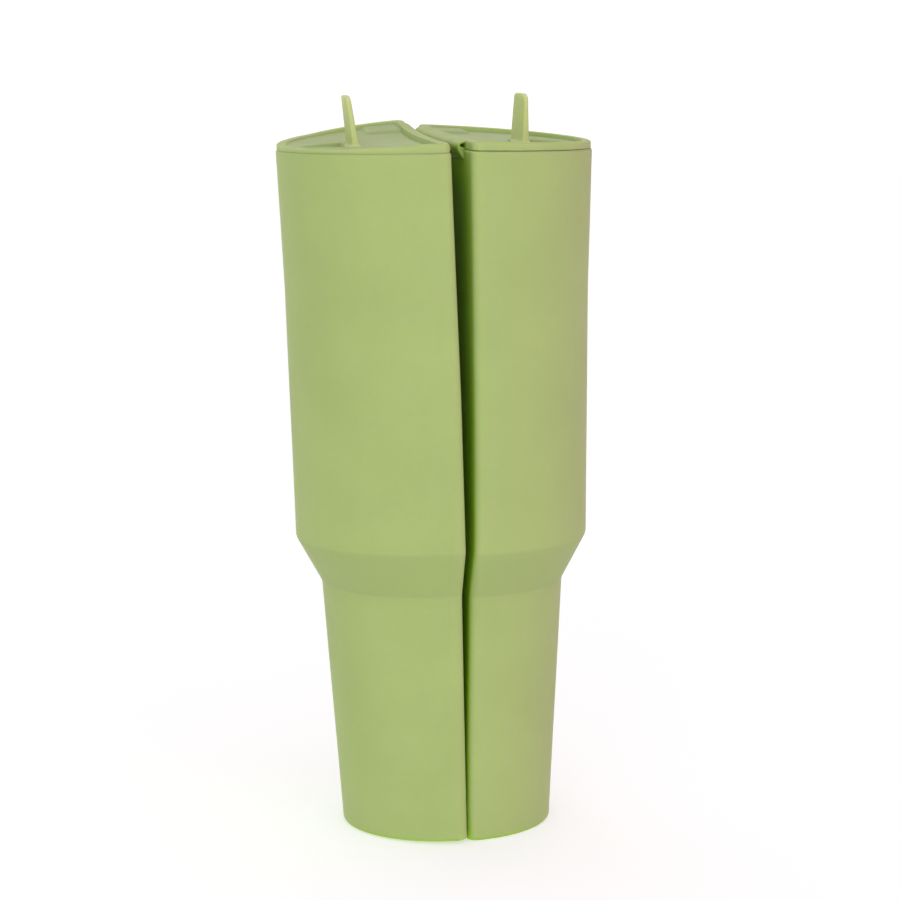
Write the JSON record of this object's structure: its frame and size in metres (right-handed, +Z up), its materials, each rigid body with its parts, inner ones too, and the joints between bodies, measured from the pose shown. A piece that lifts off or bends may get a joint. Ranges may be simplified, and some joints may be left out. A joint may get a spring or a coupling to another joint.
{
  "type": "silicone half-tumbler mold pair",
  "caption": "Soft D-shaped stepped containers standing flat side to flat side as one tumbler, each with a plug-in lid on a soft hinge web and an upright pull tab.",
  "frame": {"origin": "middle of the pair's footprint, on the surface it stands on", "axes": "+Z up; the split plane between the halves faces X, with the right half at +X; the front faces -Y"},
  "size_m": [0.0996, 0.096, 0.232],
  "materials": {
    "green_silicone": "matte, slightly waxy light lime green silicone"
  },
  "bodies": {
    "right_half": {"right_mold": "green_silicone", "right_strap": "green_silicone"},
    "right_cover": {"right_lid": "green_silicone"},
    "left_half": {"left_mold": "green_silicone", "left_strap": "green_silicone"},
    "left_cover": {"left_lid": "green_silicone"}
  },
  "joints": [
    {"name": "left_half_slide", "type": "slide", "parent": "right_half", "child": "left_half", "axis": [0, 1, 0], "range_m": [-0.1, 0.1]},
    {"name": "right_lid_hinge", "type": "hinge", "parent": "right_half", "child": "right_cover", "pos_m": [0.00293, 0.0015, 0.2164], "axis": [0, -1, 0], "range_deg": [0, 80], "deforming": ["right_strap"]},
    {"name": "left_lid_hinge", "type": "hinge", "parent": "left_half", "child": "left_cover", "pos_m": [-0.00298, -0.0015, 0.21618], "axis": [0, 1, 0], "range_deg": [0, 60], "deforming": ["left_strap"]}
  ]
}
